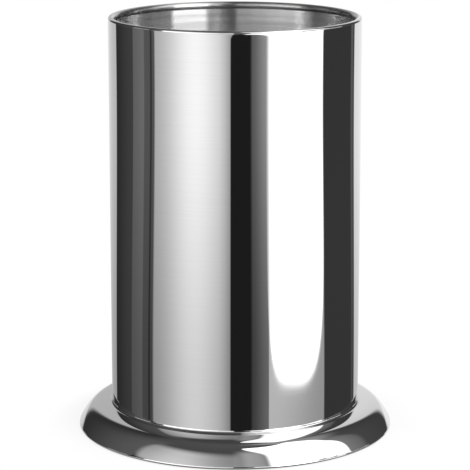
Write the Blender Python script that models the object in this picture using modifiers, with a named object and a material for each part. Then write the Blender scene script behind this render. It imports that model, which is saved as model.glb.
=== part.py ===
"""Straw holder: a polished steel tube with a rolled rim, standing in a flared base ring.

Lengths are in metres, +Z is up, and the origin is on the table under the middle of the base.
"""

import math

import bpy
from mathutils import Vector, geometry

MM = 0.001

# Main sizes
OVERALL_HEIGHT = 125.0 * MM
TUBE_DIAMETER = 75.0 * MM
FLARE_WIDTH = 10.0 * MM          # how far the base reaches past the tube, all round
SEAT_GAP = 0.3 * MM              # clearance between pieces that touch

# Cup wall: the tube and its rolled rim
WALL_SHEET = 0.7 * MM
RIM_ROLL_RADIUS = 1.15 * MM      # outside radius of the roll
RIM_ROLL_TURN = 225.0            # degrees, from the outer wall over the top and down inside

# Cup floor: a pressed dish in the foot of the tube
FLOOR_SHEET = 0.7 * MM
FLOOR_LIP_HEIGHT = 6.0 * MM
FLOOR_CORNER_RADIUS = 2.0 * MM

# Base ring: collar, crown, flank and rolled hem
BASE_SHEET = 0.6 * MM
CROWN_HEIGHT = 7.6 * MM          # from the hem's underside to where the crown leaves the fillet
COLLAR_RISE = 2.2 * MM           # from the crown to the top of the collar
FILLET_RADIUS = 1.4 * MM
CROWN_TILT = 9.0                 # degrees from level, where the crown starts
FLANK_TILT = 58.0                # degrees from level, where the flank meets the hem
CROWN_PULL = 0.46                # lengths of the curve's two handles, as shares of its chord
FLANK_PULL = 0.45
HEM_RADIUS = 0.8 * MM
HEM_RETURN = 2.6 * MM            # flat turned in under the base
HEM_CLEARANCE = 0.2 * MM         # between the hem and the table

# Base pad: a non-slip disc under the floor
PAD_THICKNESS = 1.5 * MM
PAD_MARGIN = 1.0 * MM            # bare rim of the floor's flat around the pad
PAD_EDGE = 0.4 * MM

# How finely round forms are divided
TURN_STEPS = 72
ARC_STEP = 22.5                  # degrees
CURVE_POINTS = 9

# Sizes that follow from those above
TUBE_RADIUS = TUBE_DIAMETER / 2.0
BASE_RADIUS = TUBE_RADIUS + FLARE_WIDTH
BORE_RADIUS = TUBE_RADIUS - WALL_SHEET
FLOOR_RADIUS = BORE_RADIUS - SEAT_GAP
FLOOR_LEVEL = PAD_THICKNESS + SEAT_GAP
COLLAR_RADIUS = TUBE_RADIUS + SEAT_GAP + BASE_SHEET
PAD_RADIUS = FLOOR_RADIUS - FLOOR_CORNER_RADIUS - PAD_MARGIN


def clear_scene():
    for old in list(bpy.data.objects):
        bpy.data.objects.remove(old, do_unlink=True)


def make_collection(name):
    collection = bpy.data.collections.new(name)
    bpy.context.scene.collection.children.link(collection)
    return collection


def make_material(name, color, metallic, roughness):
    material = bpy.data.materials.new(name)
    material.use_nodes = True
    shader = material.node_tree.nodes["Principled BSDF"]
    shader.inputs["Base Color"].default_value = (*color, 1.0)
    shader.inputs["Metallic"].default_value = metallic
    shader.inputs["Roughness"].default_value = roughness
    return material


def arc(center, radius, start, end):
    """Points on a circle from one angle to another, in degrees, both ends included."""
    count = max(1, math.ceil(abs(end - start) / ARC_STEP))
    points = []
    for index in range(count + 1):
        angle = math.radians(start + (end - start) * index / count)
        points.append((center[0] + radius * math.cos(angle), center[1] + radius * math.sin(angle)))
    return points


def turn(name, profile, collection):
    """A profile of (radius, height) points, turned once round Z. It runs down the outer side."""
    mesh = bpy.data.meshes.new(name)
    points = [(radius, 0.0, height) for radius, height in profile]
    edges = [(index, index + 1) for index in range(len(points) - 1)]
    mesh.from_pydata(points, edges, [])
    turned = bpy.data.objects.new(name, mesh)
    collection.objects.link(turned)
    screw = turned.modifiers.new("turn", "SCREW")
    screw.axis = "Z"
    screw.angle = math.tau
    screw.steps = TURN_STEPS
    screw.render_steps = TURN_STEPS
    screw.use_merge_vertices = True
    screw.merge_threshold = 0.00005
    return turned


def give_thickness(turned, sheet):
    """The turned surface is the sheet's outer face, so the thickness goes inwards."""
    solidify = turned.modifiers.new("sheet", "SOLIDIFY")
    solidify.thickness = sheet
    solidify.offset = -1.0
    solidify.use_even_offset = True
    solidify.use_quality_normals = True


def finish(piece, material, level, holder):
    """Apply the modifiers, shade the round faces smooth, and seat the piece at its height."""
    evaluated = piece.evaluated_get(bpy.context.evaluated_depsgraph_get())
    mesh = bpy.data.meshes.new_from_object(evaluated)
    mesh.name = piece.name
    piece.modifiers.clear()
    piece.data = mesh
    mesh.shade_smooth()
    mesh.set_sharp_from_angle(angle=math.radians(40.0))
    mesh.materials.clear()
    mesh.materials.append(material)
    piece.location.z = level
    piece.parent = holder


def make_cup_wall(collection, holder, material):
    height = OVERALL_HEIGHT - FLOOR_LEVEL
    roll_center = (TUBE_RADIUS - RIM_ROLL_RADIUS, height - RIM_ROLL_RADIUS)
    profile = arc(roll_center, RIM_ROLL_RADIUS, RIM_ROLL_TURN, 0.0)
    profile.append((TUBE_RADIUS, 0.0))
    wall = turn("cup_wall", profile, collection)
    give_thickness(wall, WALL_SHEET)
    finish(wall, material, FLOOR_LEVEL, holder)


def make_cup_floor(collection, holder, material):
    corner_center = (FLOOR_RADIUS - FLOOR_CORNER_RADIUS, FLOOR_CORNER_RADIUS)
    profile = [(FLOOR_RADIUS, FLOOR_LIP_HEIGHT)]
    profile += arc(corner_center, FLOOR_CORNER_RADIUS, 0.0, -90.0)
    profile.append((0.0, 0.0))
    floor = turn("cup_floor", profile, collection)
    give_thickness(floor, FLOOR_SHEET)
    finish(floor, material, FLOOR_LEVEL, holder)


def flare_curve(start, start_tilt, end, end_tilt):
    """The crown and flank: one curve from level beside the collar to steep at the hem."""
    chord = (Vector(end) - Vector(start)).length
    start_way = Vector((math.cos(start_tilt), -math.sin(start_tilt)))
    end_way = Vector((math.cos(end_tilt), -math.sin(end_tilt)))
    start_handle = Vector(start) + start_way * chord * CROWN_PULL
    end_handle = Vector(end) - end_way * chord * FLANK_PULL
    curve = geometry.interpolate_bezier(start, start_handle, end_handle, end, CURVE_POINTS)
    return [(point.x, point.y) for point in curve]


def make_base_ring(collection, holder, material):
    crown_tilt = math.radians(CROWN_TILT)
    fillet_center = (COLLAR_RADIUS + FILLET_RADIUS, CROWN_HEIGHT + FILLET_RADIUS * math.cos(crown_tilt))
    hem_center = (BASE_RADIUS - HEM_RADIUS, HEM_RADIUS)
    fillet = arc(fillet_center, FILLET_RADIUS, 180.0, 270.0 - CROWN_TILT)
    above_widest = arc(hem_center, HEM_RADIUS, 90.0 - FLANK_TILT, 0.0)
    below_widest = arc(hem_center, HEM_RADIUS, 0.0, -90.0)
    hem = above_widest + below_widest[1:]
    flare = flare_curve(fillet[-1], crown_tilt, hem[0], math.radians(FLANK_TILT))
    profile = [(COLLAR_RADIUS, CROWN_HEIGHT + COLLAR_RISE)]
    profile += fillet
    profile += flare[1:-1]
    profile += hem
    profile.append((hem_center[0] - HEM_RETURN, 0.0))
    ring = turn("base_ring", profile, collection)
    give_thickness(ring, BASE_SHEET)
    finish(ring, material, HEM_CLEARANCE, holder)


def make_base_pad(collection, holder, material):
    bpy.ops.mesh.primitive_cylinder_add(vertices=TURN_STEPS, radius=PAD_RADIUS, depth=PAD_THICKNESS)
    pad = bpy.context.object
    pad.name = "base_pad"
    for other in list(pad.users_collection):
        other.objects.unlink(pad)
    collection.objects.link(pad)
    bevel = pad.modifiers.new("edge", "BEVEL")
    bevel.width = PAD_EDGE
    bevel.segments = 2
    bevel.limit_method = "ANGLE"
    bevel.angle_limit = math.radians(40.0)
    finish(pad, material, PAD_THICKNESS / 2.0, holder)


def main():
    clear_scene()
    collection = make_collection("straw_holder")
    holder = bpy.data.objects.new("straw_holder_origin", None)
    collection.objects.link(holder)
    wall_steel = make_material("polished_wall_steel", (0.74, 0.74, 0.74), 1.0, 0.08)
    base_steel = make_material("polished_base_steel", (0.72, 0.72, 0.72), 1.0, 0.06)
    floor_steel = make_material("plain_floor_steel", (0.60, 0.60, 0.60), 1.0, 0.32)
    pad_rubber = make_material("black_pad_rubber", (0.025, 0.025, 0.025), 0.0, 0.85)
    make_cup_wall(collection, holder, wall_steel)
    make_cup_floor(collection, holder, floor_steel)
    make_base_ring(collection, holder, base_steel)
    make_base_pad(collection, holder, pad_rubber)


main()
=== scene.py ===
# Straw holder: a polished steel tube with a rolled rim, brushed inside, in a flared, polished base ring.
# Lengths are in metres, angles in degrees. The frame gives the sizes, and everything here is fitted to it.
import math

import bpy
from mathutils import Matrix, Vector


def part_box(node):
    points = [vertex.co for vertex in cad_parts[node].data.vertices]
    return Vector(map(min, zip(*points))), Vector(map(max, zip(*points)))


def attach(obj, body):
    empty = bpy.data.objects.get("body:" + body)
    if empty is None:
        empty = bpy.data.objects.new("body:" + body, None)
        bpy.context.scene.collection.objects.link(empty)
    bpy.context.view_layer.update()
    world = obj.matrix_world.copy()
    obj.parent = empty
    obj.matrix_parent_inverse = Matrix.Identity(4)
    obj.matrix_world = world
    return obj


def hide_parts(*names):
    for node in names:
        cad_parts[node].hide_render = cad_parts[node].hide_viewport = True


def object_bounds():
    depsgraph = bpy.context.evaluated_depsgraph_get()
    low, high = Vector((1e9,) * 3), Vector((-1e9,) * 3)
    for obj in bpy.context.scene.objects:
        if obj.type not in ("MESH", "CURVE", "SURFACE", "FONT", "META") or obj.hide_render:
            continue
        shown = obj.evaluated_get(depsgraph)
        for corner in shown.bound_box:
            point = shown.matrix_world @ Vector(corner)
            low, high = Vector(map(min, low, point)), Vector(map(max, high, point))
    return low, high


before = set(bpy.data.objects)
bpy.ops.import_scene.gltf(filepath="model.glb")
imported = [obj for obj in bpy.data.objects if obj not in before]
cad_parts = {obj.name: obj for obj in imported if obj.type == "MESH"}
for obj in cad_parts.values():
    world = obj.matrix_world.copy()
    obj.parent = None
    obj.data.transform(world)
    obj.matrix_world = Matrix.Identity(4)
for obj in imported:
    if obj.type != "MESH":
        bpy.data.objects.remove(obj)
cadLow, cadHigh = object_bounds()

mm = 0.001
turnSteps = 384          # faces round every turned piece
sharpAngle = 40.0        # edges bent more than this stay crisp
supportGap = 0.4 * mm    # from a cut edge to the ring that keeps the face beside it flat
mergeDistance = 0.001 * mm

wallLow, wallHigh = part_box("cup_wall")
floorLow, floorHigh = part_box("cup_floor")
ringLow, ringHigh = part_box("base_ring")
padLow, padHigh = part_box("base_pad")
tubeRadius = wallHigh.x
baseRadius = ringHigh.x


# Section points. A section is a list of (radius, height) pairs, going once round the cut metal.

def arcPoints(center, radius, start, end, count):
    points = []
    for index in range(count + 1):
        angle = math.radians(start + (end - start) * index / count)
        points.append((center[0] + radius * math.cos(angle), center[1] + radius * math.sin(angle)))
    return points


def curvePoints(start, startTilt, end, endTilt, startPull, endPull, count):
    # one bezier curve, leaving and arriving at the given tilts below level
    chord = math.dist(start, end)
    a = math.radians(startTilt)
    b = math.radians(endTilt)
    handle1 = (start[0] + math.cos(a) * chord * startPull, start[1] - math.sin(a) * chord * startPull)
    handle2 = (end[0] - math.cos(b) * chord * endPull, end[1] + math.sin(b) * chord * endPull)
    points = []
    for index in range(count + 1):
        t = index / count
        weights = ((1 - t) ** 3, 3 * t * (1 - t) ** 2, 3 * t * t * (1 - t), t ** 3)
        corners = (start, handle1, handle2, end)
        points.append(tuple(sum(w * c[axis] for w, c in zip(weights, corners)) for axis in (0, 1)))
    return points


def straightPoints(start, end):
    # a straight run with a support point near its far end, so that its shading stays flat
    length = math.dist(start, end)
    share = 1.0 - supportGap / length
    near = (start[0] + (end[0] - start[0]) * share, start[1] + (end[1] - start[1]) * share)
    return [start, near, end]


def offsetPoints(points, thickness):
    # the sheet's other face: every point moved square to the line, to its right-hand side
    moved = []
    for index, point in enumerate(points):
        before = points[max(index - 1, 0)]
        after = points[min(index + 1, len(points) - 1)]
        run = (after[0] - before[0], after[1] - before[1])
        length = math.hypot(*run)
        amount = thickness[index]
        moved.append((point[0] + run[1] / length * amount, point[1] - run[0] / length * amount))
    return moved


# Turning: one ring of edges, extruded and resized from point to point of the section

def turnPiece(name, section, poles=False):
    bpy.ops.object.select_all(action="DESELECT")
    radius, height = section[0]
    fill = "TRIFAN" if poles else "NOTHING"
    place = (0, 0, height)
    bpy.ops.mesh.primitive_circle_add(vertices=turnSteps, radius=radius, fill_type=fill, location=place)
    piece = bpy.context.object
    piece.name = name
    bpy.ops.object.transform_apply(location=True, rotation=False, scale=False)
    bpy.ops.object.mode_set(mode="EDIT")
    bpy.ops.mesh.select_mode(type="EDGE")
    bpy.ops.mesh.select_all(action="SELECT")
    if poles:
        bpy.ops.mesh.region_to_loop()
    for nextRadius, nextHeight in section[1:]:
        grow = nextRadius / radius
        bpy.ops.mesh.extrude_edges_move(TRANSFORM_OT_translate={"value": (0, 0, nextHeight - height)})
        bpy.ops.transform.resize(value=(grow, grow, 1), center_override=(0, 0, 0))
        radius, height = nextRadius, nextHeight
    if poles:
        bpy.ops.mesh.edge_face_add()
        bpy.ops.mesh.poke()
    bpy.ops.mesh.select_mode(type="VERT")
    bpy.ops.mesh.select_all(action="SELECT")
    bpy.ops.mesh.remove_doubles(threshold=mergeDistance)
    bpy.ops.mesh.normals_make_consistent(inside=False)
    bpy.ops.object.mode_set(mode="OBJECT")
    return piece


def softenEdges(piece, width, segments=3):
    bevel = piece.modifiers.new("cutEdges", "BEVEL")
    bevel.width = width
    bevel.segments = segments
    bevel.limit_method = "ANGLE"
    bevel.angle_limit = math.radians(sharpAngle)
    bpy.ops.object.modifier_apply(modifier=bevel.name)


def finishPiece(piece, node, slot, *materials):
    bpy.ops.object.shade_smooth_by_angle(angle=math.radians(sharpAngle))
    for material in materials:
        piece.data.materials.append(material)
    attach(piece, "root")
    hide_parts(node)


# Shader maths: a socket that Python can reckon with

class Value:
    def __init__(self, tree, socket):
        self.tree = tree
        self.socket = socket

    def node(self, kind, settings, inputs, output=0):
        made = self.tree.nodes.new(kind)
        for name, setting in settings.items():
            setattr(made, name, setting)
        for name, value in inputs.items():
            if isinstance(value, Value):
                self.tree.links.new(value.socket, made.inputs[name])
            else:
                made.inputs[name].default_value = value
        return Value(self.tree, made.outputs[output] if made.outputs else None)

    def math(self, operation, *others):
        inputs = {index: value for index, value in enumerate(others)}
        return self.node("ShaderNodeMath", {"operation": operation}, inputs)

    def __add__(self, other):
        return self.math("ADD", self, other)

    def __radd__(self, other):
        return self.math("ADD", other, self)

    def __sub__(self, other):
        return self.math("SUBTRACT", self, other)

    def __rsub__(self, other):
        return self.math("SUBTRACT", other, self)

    def __mul__(self, other):
        return self.math("MULTIPLY", self, other)

    def __rmul__(self, other):
        return self.math("MULTIPLY", other, self)

    def __truediv__(self, other):
        return self.math("DIVIDE", self, other)

    def __pow__(self, other):
        return self.math("POWER", self, other)

    def rise(self, low, high, bottom=0.0, top=1.0):
        # a soft step from bottom to top as the value goes from low to high
        settings = {"interpolation_type": "SMOOTHSTEP", "clamp": True}
        inputs = {"Value": self, "From Min": low, "From Max": high, "To Min": bottom, "To Max": top}
        return self.node("ShaderNodeMapRange", settings, inputs)


def startTree(tree):
    tree.nodes.clear()
    return Value(tree, None)


def newMaterial(name):
    material = bpy.data.materials.new(name)
    material.use_nodes = True
    return material, startTree(material.node_tree)


def grey(level):
    # a grey as the eye sees it, 0 to 1, as the linear value a shader takes
    return level / 12.92 if level <= 0.04045 else ((level + 0.055) / 1.055) ** 2.4


def objectPoint(start):
    return start.node("ShaderNodeTexCoord", {}, {}, "Object")


def isCameraRay(start):
    # 1 where the camera looks at the background or the floor itself, 0 where the steel shows them
    return start.node("ShaderNodeLightPath", {}, {}, "Is Camera Ray")


def stretchedNoise(start, stretch, detail=2.0, roughness=0.5, offset=0.0):
    # noise on Object coordinates, in features per metre along X, Y and Z
    placing = {"Vector": objectPoint(start), "Scale": stretch, "Location": (offset, 0.0, 0.0)}
    placed = start.node("ShaderNodeMapping", {}, placing)
    inputs = {"Vector": placed, "Scale": 1.0, "Detail": detail, "Roughness": roughness}
    return start.node("ShaderNodeTexNoise", {"noise_dimensions": "3D"}, inputs)


def bumpNormal(start, depth, height):
    return start.node("ShaderNodeBump", {}, {"Strength": 1.0, "Distance": depth, "Height": height})


def metalShader(start, settings, color, roughness, height):
    # settings: what stays the same all over the surface
    inputs = {"Base Color": color, "Metallic": 1.0, "Roughness": roughness}
    inputs["Normal"] = bumpNormal(start, settings["bumpDepth"], height)
    inputs["Anisotropic"] = settings["anisotropic"]
    inputs["Anisotropic Rotation"] = settings["anisotropicTurn"]
    shader = start.node("ShaderNodeBsdfPrincipled", {}, inputs)
    start.node("ShaderNodeOutputMaterial", {}, {"Surface": shader})


def greyColor(start, level):
    return start.node("ShaderNodeCombineColor", {}, {0: level, 1: level, 2: level})


# Steels and rubber

# Grain, bands, clouds and dust are noise, in features per metre along X, Y and Z: long round the tube and
# fine up it. A drift is how far the noise moves a value, and an offset keeps two noises apart.
polish = {"tone": 0.74, "toneDrift": 0.05, "roughness": 0.031, "roughnessDrift": 0.010,
          "grain": (30.0, 30.0, 2400.0), "cloud": (38.0, 38.0, 55.0), "cloudOffset": 7.0,
          "bumpDepth": 0.12e-6, "anisotropic": 0.5, "anisotropicTurn": 0.25}
basePolish = {**polish, "grain": (45.0, 45.0, 2600.0), "toneDrift": 0.04}


def makePolishedSteel(name, settings):
    material, start = newMaterial(name)
    grain = stretchedNoise(start, settings["grain"], detail=3.0)
    cloud = stretchedNoise(start, settings["cloud"], detail=2.0, offset=settings["cloudOffset"])
    tone = settings["tone"] + (grain - 0.5) * settings["toneDrift"]
    roughness = settings["roughness"] + (cloud - 0.5) * settings["roughnessDrift"]
    metalShader(start, settings, greyColor(start, tone), roughness, grain)
    return material


brushed = {"tone": 0.80, "toneDrift": 0.20, "roughness": 0.22, "roughnessDrift": 0.04,
           "grain": (24.0, 24.0, 2200.0), "grainShare": 0.7, "band": (12.0, 12.0, 620.0), "bandOffset": 3.0,
           "bumpDepth": 4.0e-6, "anisotropic": 1.0, "anisotropicTurn": 0.25}
# the roll's steel: the brushed steel with a darker tone, painted shade that dims what the roll reflects, and
# a little rougher
rolled = {**brushed, "tone": 0.57, "roughness": 0.26, "bumpDepth": 0.5e-6}
satin = {**brushed, "tone": 0.52, "toneDrift": 0.14, "roughness": 0.33, "roughnessDrift": 0.12,
         "grain": (90.0, 3200.0, 90.0), "bumpDepth": 3.0e-6, "anisotropic": 0.3, "anisotropicTurn": 0.0}


def makeBrushedSteel(name, settings):
    material, start = newMaterial(name)
    grain = stretchedNoise(start, settings["grain"], detail=4.0, roughness=0.62)
    band = stretchedNoise(start, settings["band"], detail=2.0, offset=settings["bandOffset"])
    tone = settings["tone"] + (grain - 0.5) * settings["toneDrift"] + (band - 0.5) * settings["toneDrift"]
    roughness = settings["roughness"] + (band - 0.5) * settings["roughnessDrift"]
    height = grain * settings["grainShare"] + band * (1.0 - settings["grainShare"])
    metalShader(start, settings, greyColor(start, tone), roughness, height)
    return material


rubber = {"tone": 0.022, "toneDrift": 0.012, "roughness": 0.82, "roughnessDrift": 0.14,
          "pebble": 2300.0, "dust": (160.0, 160.0, 160.0), "bumpDepth": 0.03 * mm}


def makeRubber(name, settings):
    material, start = newMaterial(name)
    placing = {"Vector": objectPoint(start), "Scale": settings["pebble"]}
    pebble = start.node("ShaderNodeTexVoronoi", {}, placing)
    dust = stretchedNoise(start, settings["dust"], detail=5.0, roughness=0.65)
    tone = settings["tone"] + (dust - 0.5) * settings["toneDrift"]
    roughness = settings["roughness"] + (dust - 0.5) * settings["roughnessDrift"]
    inputs = {"Base Color": greyColor(start, tone), "Roughness": roughness}
    inputs["Normal"] = bumpNormal(start, settings["bumpDepth"], pebble)
    shader = start.node("ShaderNodeBsdfPrincipled", {}, inputs)
    start.node("ShaderNodeOutputMaterial", {}, {"Surface": shader})
    return material


polishedSteel = makePolishedSteel("polishedWallSteel", polish)
insideSteel = makeBrushedSteel("brushedInsideSteel", brushed)
rollSteelPaintedShade = makeBrushedSteel("brushedRollSteelPaintedShade", rolled)
floorSteel = makeBrushedSteel("satinFloorSteel", satin)
baseSteel = makePolishedSteel("polishedBaseSteel", basePolish)
padRubber = makeRubber("blackPadRubber", rubber)
print("materials made")


# Cup wall: the tube, with its top edge rolled inwards

cupWall = {"sheet": 0.7 * mm, "bendRadius": 0.76 * mm, "bendPoints": 18,
           "rollRadius": 1.15 * mm, "rollTurn": 242.0, "rollPoints": 30,
           "easingRadius": 60.0 * mm, "easingTurn": 1.7, "easingPoints": 10,
           "edge": 0.1 * mm, "boreSlack": 0.03 * mm, "brushedFrom": 0.3 * mm}


def makeCupWall(settings):
    # the wall eases inwards over its last millimetres, bends tightly over the top and rolls down inside
    bend = settings["bendRadius"]
    roll = settings["rollRadius"]
    easing = settings["easingRadius"]
    easingTurn = settings["easingTurn"]
    turn = math.radians(easingTurn)
    bendCenter = (tubeRadius - easing + (easing - bend) * math.cos(turn), wallHigh.z - bend)
    rollCenter = (bendCenter[0], wallHigh.z - roll)
    easingCenter = (tubeRadius - easing, bendCenter[1] - (easing - bend) * math.sin(turn))
    boreRadius = tubeRadius - settings["sheet"]
    sides = []
    for cut, foot in ((0.0, tubeRadius), (settings["sheet"], boreRadius)):
        side = arcPoints(rollCenter, roll - cut, settings["rollTurn"], 90.0, settings["rollPoints"])
        side += arcPoints(bendCenter, bend - cut, 90.0, easingTurn, settings["bendPoints"])[1:]
        side += arcPoints(easingCenter, easing - cut, easingTurn, 0.0, settings["easingPoints"])[1:-1]
        sides.append(side + straightPoints((foot, easingCenter[1]), (foot, wallLow.z)))
    outside, inside = sides
    section = outside + inside[::-1] + outside[:1]
    piece = turnPiece("cupWall", section)
    softenEdges(piece, settings["edge"])
    finishPiece(piece, "cup_wall", "polished_wall_steel", polishedSteel, insideSteel, rollSteelPaintedShade)
    # the bore is brushed, and so is the roll, from just inside its crest; the roll takes a darker copy of the
    # steel, which is painted shade
    for face in piece.data.polygons:
        out = math.hypot(face.center.x, face.center.y)
        if abs(out - boreRadius) < settings["boreSlack"] and face.center.z < bendCenter[1]:
            face.material_index = 1
        elif out < bendCenter[0] - settings["brushedFrom"]:
            face.material_index = 2
    return piece


makeCupWall(cupWall)
print("cup wall made")


# Cup floor: a pressed dish pushed into the tube's foot

cupFloor = {"sheet": 0.7 * mm, "cornerRadius": 2.0 * mm, "cornerPoints": 12, "edge": 0.1 * mm,
            "poleRadius": 0.5 * mm}


def makeCupFloor(settings):
    corner = settings["cornerRadius"]
    center = (floorHigh.x - corner, floorLow.z + corner)
    outside = straightPoints((settings["poleRadius"], floorLow.z), (center[0], floorLow.z))[:-1]
    outside += arcPoints(center, corner, -90.0, 0.0, settings["cornerPoints"])
    outside += straightPoints((floorHigh.x, center[1]), (floorHigh.x, floorHigh.z))[1:]
    lipRadius = floorHigh.x - settings["sheet"]
    inside = straightPoints((lipRadius, center[1]), (lipRadius, floorHigh.z))[:0:-1]
    inside += arcPoints(center, corner - settings["sheet"], 0.0, -90.0, settings["cornerPoints"])
    top = floorLow.z + settings["sheet"]
    inside += straightPoints((settings["poleRadius"], top), (center[0], top))[-2::-1]
    piece = turnPiece("cupFloor", outside + inside, poles=True)
    softenEdges(piece, settings["edge"])
    finishPiece(piece, "cup_floor", "plain_floor_steel", floorSteel)
    return piece


makeCupFloor(cupFloor)
print("cup floor made")


# Base ring: the fillet that hugs the tube, the crown, the flank and the rolled hem

baseRing = {"sheet": 0.6 * mm, "hug": 0.02 * mm, "featherSheet": 0.03 * mm,
            "filletRadius": 0.95 * mm, "filletPoints": 20, "crownHeight": 7.95 * mm,
            "crownTilt": 6.0, "crownPull": 0.414, "flankTilt": 62.7, "flankPull": 0.54, "flarePoints": 44,
            "hemRadius": 0.6 * mm, "hemReturn": 2.6 * mm, "hemPoints": 24}


def makeBaseRing(settings):
    fillet = settings["filletRadius"]
    hem = settings["hemRadius"]
    crownTilt = settings["crownTilt"]
    flankTilt = settings["flankTilt"]
    filletCenter = (tubeRadius + settings["hug"] + fillet,
                    settings["crownHeight"] + fillet * math.cos(math.radians(crownTilt)))
    hemCenter = (baseRadius - hem, ringLow.z + hem)
    filletLine = arcPoints(filletCenter, fillet, 180.0, 270.0 - crownTilt, settings["filletPoints"])
    hemLine = arcPoints(hemCenter, hem, 90.0 - flankTilt, -90.0, settings["hemPoints"])
    flareLine = curvePoints(filletLine[-1], crownTilt, hemLine[0], flankTilt,
                            settings["crownPull"], settings["flankPull"], settings["flarePoints"])
    outside = filletLine + flareLine[1:-1] + hemLine
    outside.append((hemCenter[0] - settings["hemReturn"], ringLow.z))
    # the sheet thins to a feather edge where the fillet meets the tube
    feather = settings["featherSheet"]
    thickness = []
    for index in range(len(outside)):
        share = min(1.0, index / settings["filletPoints"])
        thickness.append(feather + (settings["sheet"] - feather) * share ** 2)
    inside = offsetPoints(outside, thickness)
    piece = turnPiece("baseRing", outside + inside[::-1] + outside[:1])
    finishPiece(piece, "base_ring", "polished_base_steel", baseSteel)
    return piece


makeBaseRing(baseRing)
print("base ring made")


# Base pad: the non-slip disc under the floor

basePad = {"edgeRadius": 0.4 * mm, "edgePoints": 6, "poleRadius": 0.5 * mm}


def makeBasePad(settings):
    edge = settings["edgeRadius"]
    section = [(settings["poleRadius"], padLow.z)]
    section += arcPoints((padHigh.x - edge, padLow.z + edge), edge, -90.0, 0.0, settings["edgePoints"])
    section += arcPoints((padHigh.x - edge, padHigh.z - edge), edge, 0.0, 90.0, settings["edgePoints"])
    section.append((settings["poleRadius"], padHigh.z))
    piece = turnPiece("basePad", section, poles=True)
    finishPiece(piece, "base_pad", "black_pad_rubber", padRubber)
    return piece


makeBasePad(basePad)
print("base pad made")


# The studio that the steel reflects. Angles are seen from the holder: azimuth to the right of the camera,
# elevation above level. Greys are as they look in the polished steel, from 0 to 1; above 1 is overexposed.
# Each card is laid over the ones before it. It fills its box of angles, with soft edges, and its grey goes
# from the left one to the right one. Glow is an azimuth, a width and the grey there. Fade is two elevations
# and the share of the light from the upper one on.

steelShine = polish["tone"]
nadir = -95.0            # lower than straight down: the card has no bottom edge
upperCards = {
    "leftWall": {"across": (-151, -80), "up": (nadir, 60), "blur": (4, 8), "greys": (0.17, 0.33)},
    "leftLight": {"across": (-80, 4), "up": (nadir, 49.5), "blur": (4, 7), "greys": (0.57, 0.57),
                  "glow": (-45, 28, 0.86), "fade": (20, 42, 0.74)},
    "cameraSide": {"across": (4, 29), "up": (nadir, 58), "blur": (9, 8), "greys": (0.63, 0.57)},
    "rightHalo": {"across": (90, 142), "up": (48, 86), "blur": (8, 8), "greys": (0.58, 0.50)},
    "rightFringe": {"across": (94, 113), "up": (nadir, 52), "blur": (3, 8), "greys": (0.46, 0.38)},
    "rightWall": {"across": (113, 152), "up": (nadir, 50), "blur": (6, 10), "greys": (0.26, 0.22)},
    "rearRight": {"across": (153, 200), "up": (nadir, 60), "blur": (4, 8), "greys": (0.78, 0.86)},
    "rearLeft": {"across": (-200, -155), "up": (nadir, 60), "blur": (4, 8), "greys": (0.67, 0.67)},
    "rearFlagRight": {"across": (171, 200), "up": (28, 75), "blur": (3, 3), "greys": (0.30, 0.30)},
    "rearFlagLeft": {"across": (-200, -171), "up": (28, 75), "blur": (3, 3), "greys": (0.30, 0.30)},
}
# what the inside of the mouth shows
mouthCards = {
    "leftEdge": {"across": (-104, -83), "up": (7, 13), "blur": (2.0, 1.5), "greys": (0.84, 0.84)},
    "leftGap": {"across": (-83, -68.3), "up": (1, 24), "blur": (1.0, 3), "greys": (0.02, 0.02)},
    "leftStrip": {"across": (-68.3, -42), "up": (3, 16), "blur": (1.0, 3), "greys": (1.36, 1.44)},
    "leftOfCamera": {"across": (-42, -14), "up": (3, 18), "blur": (1.0, 4), "greys": (1.33, 1.16)},
    "besideCamera": {"across": (-14, -1), "up": (3, 20), "blur": (1.0, 4), "greys": (0.98, 0.98)},
    "cameraItself": {"across": (-1, 14), "up": (-3, 30), "blur": (1.0, 4), "greys": (0.02, 0.02)},
    "rightOfCamera": {"across": (14, 27), "up": (3, 24), "blur": (1.0, 4), "greys": (0.96, 0.96)},
    "farRight": {"across": (93, 113), "up": (7.5, 10.5), "blur": (1.5, 1), "greys": (1.18, 1.18)},
}
# what the outside of the tube shows, below eye level
lowerCards = {
    "rearLeft": {"across": (-200, -145), "up": (nadir, -3), "blur": (1.4, 1.4), "greys": (0.86, 0.70)},
    "leftWall": {"across": (-145, -112), "up": (nadir, -3), "blur": (1.2, 1.4), "greys": (0.19, 0.27),
                 "fade": (-17.5, -8.5, 0.78)},
    "leftPanel": {"across": (-112, -95.5), "up": (nadir, -3), "blur": (0.8, 1.4), "greys": (0.37, 0.41)},
    "leftFold": {"across": (-95.5, -81.8), "up": (nadir, -3), "blur": (1.0, 1.4), "greys": (0.32, 0.31)},
    "leftSlit": {"across": (-87.9, -85.7), "up": (nadir, -3), "blur": (0.5, 1.4), "greys": (0.195, 0.195)},
    "leftLight": {"across": (-81.8, -4), "up": (nadir, -3), "blur": (1.5, 1.4), "greys": (0.635, 0.65),
                  "glow": (-38, 28.5, 0.97)},
    "leftLightEnd": {"across": (-13, -3), "up": (nadir, -3), "blur": (2.0, 1.4), "greys": (0.785, 0.61)},
    "underSoftbox": {"across": (31, 91), "up": (nadir, -3), "blur": (0.8, 1.4), "greys": (0.845, 0.685)},
    "rightWall": {"across": (92, 148), "up": (nadir, -3), "blur": (0.8, 1.4), "greys": (0.245, 0.245),
                  "fade": (-17.5, -8.5, 0.67)},
    "rightStrip": {"across": (138.5, 144), "up": (nadir, -3), "blur": (1.0, 1.4), "greys": (0.33, 0.33)},
    "rearRight": {"across": (147, 200), "up": (nadir, -3), "blur": (1.0, 1.4), "greys": (0.84, 0.88)},
}
studio = {"room": 0.26, "roomTop": 0.30, "roomRise": (40.0, 90.0), "dim": 0.65, "dimRise": (-17.5, -8.5),
          "lean": 0.07, "leanRise": (-17.0, -8.0), "table": 0.66, "tableEdge": -19.5, "tableBlur": 0.7,
          "underneath": 0.42, "underneathFrom": -60.0}
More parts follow.
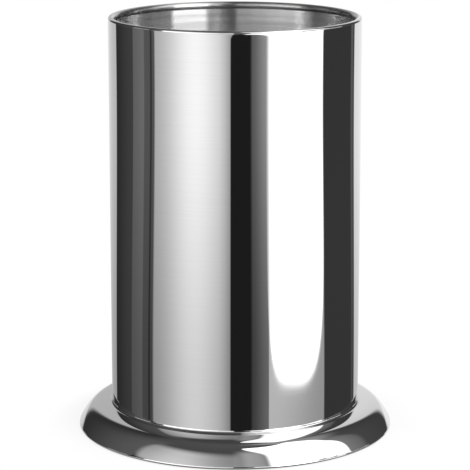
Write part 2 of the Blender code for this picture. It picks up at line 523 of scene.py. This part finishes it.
# the dark opening that the camera looks through, with rounded top corners and a grey strip inside it
opening = {"center": 13.5, "reach": 17.8, "top": -3.0, "rounding": 7.0, "corner": 4.0, "blur": 0.12,
           "grey": 0.104, "strip": {"across": (15.5, 33), "up": (nadir, 30), "blur": (1.6, 1.0),
                                    "greys": (0.235, 0.395), "fade": (-16.5, -7.5, 2.2)}}
# the large soft box on the right: rounded below, wider towards its top, dimmer along its left edge
# Reach is to the left, to the right, and up and down. Rises are the elevations between which a part grows.
softbox = {"center": (57.0, 28.0), "reach": (27.2, 34.5, 44.38), "corners": (4.0, 2.5, 40.0), "blur": 0.08,
           "grey": 1.15, "edgeGrey": 0.66, "edgeWidth": 4.5, "straightRise": (-6.0, 6.0),
           "wider": 3.5, "widerRise": (-5.0, 24.0), "flare": 18.0, "flareRise": (45.0, 70.0),
           "shoulder": 22.0, "shoulderRise": (-6.0, -3.2), "shoulderFall": (0.0, 8.0)}
softboxCards = {
    "hotStrip": {"across": (27, 62), "up": (3, 25), "blur": (1, 4), "greys": (1.86, 1.86)},
    "nearFlag": {"across": (62, 72), "up": (3, 26), "blur": (1, 2), "greys": (0.02, 0.02)},
    "middleFlag": {"across": (72, 82), "up": (3, 23), "blur": (1, 1.5), "greys": (0.02, 0.02)},
    "farFlag": {"across": (82, 92), "up": (3, 19), "blur": (1, 1.5), "greys": (0.02, 0.02)},
}


def layCard(start, level, card, across, up):
    left, right = card["across"]
    bottom, top = card["up"]
    sideBlur, topBlur = card["blur"]
    mask = across.rise(left - sideBlur, left + sideBlur)
    mask = mask * across.rise(right - sideBlur, right + sideBlur, 1.0, 0.0)
    mask = mask * up.rise(bottom - topBlur, bottom + topBlur)
    mask = mask * up.rise(top - topBlur, top + topBlur, 1.0, 0.0)
    shade = across.rise(left, right, grey(card["greys"][0]), grey(card["greys"][1]))
    if "glow" in card:
        center, width, hot = card["glow"]
        glow = start.math("EXPONENT", -1.0 * ((across - center) / width) ** 2.0)
        shade = shade + glow * (grey(hot) - grey(card["greys"][1]))
    if "fade" in card:
        shade = shade * up.rise(card["fade"][0], card["fade"][1], 1.0, card["fade"][2])
    return level + mask * (shade - level)


def layOpening(start, level, across, up):
    sideways = start.math("ABSOLUTE", (across - opening["center"]) / opening["reach"]) ** opening["corner"]
    risen = start.math("MAXIMUM", (up - opening["top"]) / opening["rounding"] + 1.0, 0.0) ** opening["corner"]
    inOpening = (sideways + risen).rise(1.0 - opening["blur"], 1.0 + opening["blur"], 1.0, 0.0)
    dark = layCard(start, grey(opening["grey"]), opening["strip"], across, up)
    return level + inOpening * (dark - level)


def laySoftbox(start, level, across, acrossLow, up):
    # the panels' lean ends at the box's foot, so its sides stand straight above that
    left, right, upAndDown = softbox["reach"]
    leftCorner, rightCorner, topCorner = softbox["corners"]
    aside = acrossLow - across * up.rise(*softbox["straightRise"], 0.0, studio["lean"]) - softbox["center"][0]
    widening = up.rise(*softbox["widerRise"], 0.0, softbox["wider"])
    widening = widening + up.rise(*softbox["flareRise"], 0.0, softbox["flare"])
    shoulder = up.rise(*softbox["shoulderRise"]) ** 2.0 * softbox["shoulder"]
    leftReach = widening + left + shoulder * up.rise(*softbox["shoulderFall"], 1.0, 0.0)
    rightReach = widening + right
    leftward = start.math("MAXIMUM", -1.0 * aside / leftReach, 0.0) ** leftCorner
    rightward = start.math("MAXIMUM", aside / rightReach, 0.0) ** rightCorner
    upright = start.math("ABSOLUTE", (up - softbox["center"][1]) / upAndDown) ** topCorner
    outline = leftward + rightward + upright
    inBox = outline.rise(1.0 - softbox["blur"], 1.0 + softbox["blur"], 1.0, 0.0)
    fromEdge = aside + leftReach
    boxLevel = fromEdge.rise(0.0, softbox["edgeWidth"], grey(softbox["edgeGrey"]), grey(softbox["grey"]))
    return level + inBox * (boxLevel - level)


def layTable(level, up):
    # pale, and darker straight below
    edge = studio["tableEdge"]
    blur = studio["tableBlur"]
    shade = up.rise(studio["underneathFrom"], edge, grey(studio["underneath"]), grey(studio["table"]))
    onTable = up.rise(edge - blur, edge + blur, 1.0, 0.0)
    return level + onTable * (shade - level)


def makeWorld():
    world = bpy.data.worlds.new("studio")
    bpy.context.scene.world = world
    world.use_nodes = True
    start = startTree(world.node_tree)
    direction = start.node("ShaderNodeTexCoord", {}, {}, "Generated")
    parts = {"Vector": direction}
    x = start.node("ShaderNodeSeparateXYZ", {}, parts, "X")
    y = start.node("ShaderNodeSeparateXYZ", {}, parts, "Y")
    z = start.node("ShaderNodeSeparateXYZ", {}, parts, "Z")
    across = start.math("ARCTAN2", x, -1.0 * y) * math.degrees(1.0)
    up = start.math("ARCSINE", z) * math.degrees(1.0)
    level = up.rise(*studio["roomRise"], grey(studio["room"]), grey(studio["roomTop"]))
    for card in [*upperCards.values(), *mouthCards.values()]:
        level = layCard(start, level, card, across, up)
    # below eye level the panels lean in a little towards the top, and dim towards the table
    acrossLow = across * up.rise(*studio["leanRise"], 1.0, 1.0 + studio["lean"])
    for card in lowerCards.values():
        level = layCard(start, level, card, acrossLow, up)
    level = level * up.rise(*studio["dimRise"], studio["dim"], 1.0)
    level = layOpening(start, level, acrossLow, up)
    level = laySoftbox(start, level, across, acrossLow, up)
    for card in softboxCards.values():
        level = layCard(start, level, card, across, up)
    level = layTable(level, up) / steelShine
    level = level + isCameraRay(start) * (1.0 - level)
    background = start.node("ShaderNodeBackground", {}, {"Color": greyColor(start, level), "Strength": 1.0})
    start.node("ShaderNodeOutputWorld", {}, {"Surface": background})


makeWorld()
print("studio made")


# Floor and lamps

# the floor shows as white to the camera, but for a faint shadow near the holder
floorPlane = {"size": 4.0, "drop": 0.05 * mm, "tone": 0.93,
              "whiteNear": 0.85, "whiteFrom": 47.5 * mm, "whiteTo": 60.0 * mm}


def makeFloor(settings):
    bpy.ops.object.select_all(action="DESELECT")
    bpy.ops.mesh.primitive_plane_add(size=settings["size"], location=(0, 0, cadLow.z - settings["drop"]))
    floor = bpy.context.object
    floor.name = "studioFloor"
    floor.visible_glossy = False         # the steel shows the studio's own table instead
    material, start = newMaterial("paleFloor")
    point = objectPoint(start)
    length = start.node("ShaderNodeVectorMath", {"operation": "LENGTH"}, {0: point}, "Value")
    white = length.rise(settings["whiteFrom"], settings["whiteTo"], settings["whiteNear"], 1.0)
    tone = settings["tone"]
    plain = start.node("ShaderNodeBsdfDiffuse", {}, {"Color": (tone, tone, tone, 1.0)})
    glow = start.node("ShaderNodeEmission", {}, {"Color": (1.0, 1.0, 1.0, 1.0), "Strength": 1.0})
    mixed = start.node("ShaderNodeMixShader", {}, {0: white * isCameraRay(start), 1: plain, 2: glow})
    start.node("ShaderNodeOutputMaterial", {}, {"Surface": mixed})
    floor.data.materials.append(material)


makeFloor(floorPlane)

lamps = {"keyLamp": {"place": (0.55, -0.65, 0.95), "size": 0.7, "power": 5.0},
         "fillLamp": {"place": (-0.75, -0.35, 0.85), "size": 0.8, "power": 4.0}}


def makeLamps():
    for name, lamp in lamps.items():
        data = bpy.data.lights.new(name, "AREA")
        data.shape = "DISK"
        data.size = lamp["size"]
        data.energy = lamp["power"]
        made = bpy.data.objects.new(name, data)
        bpy.context.scene.collection.objects.link(made)
        made.location = lamp["place"]
        made.rotation_euler = made.location.to_track_quat("Z", "Y").to_euler()
        made.visible_glossy = False      # the studio's soft boxes are what the steel shows


makeLamps()


# Camera, where the photograph was taken from

view = {"distance": 0.6508, "height": 0.2029, "pitch": 12.496, "focalPixels": 2211.0, "framePixels": 470.0,
        "sensor": 36.0, "clip": (0.01, 20.0)}


def makeCamera(settings):
    data = bpy.data.cameras.new("camera")
    data.sensor_width = settings["sensor"]
    data.lens = settings["focalPixels"] * settings["sensor"] / settings["framePixels"]
    data.clip_start, data.clip_end = settings["clip"]
    camera = bpy.data.objects.new("camera", data)
    bpy.context.scene.collection.objects.link(camera)
    camera.location = (0.0, -settings["distance"], settings["height"])
    camera.rotation_euler = (math.radians(90.0 - settings["pitch"]), 0.0, 0.0)
    bpy.context.scene.camera = camera


makeCamera(view)
bpy.context.scene.view_settings.view_transform = "Standard"
print("floor, lamps and camera made")
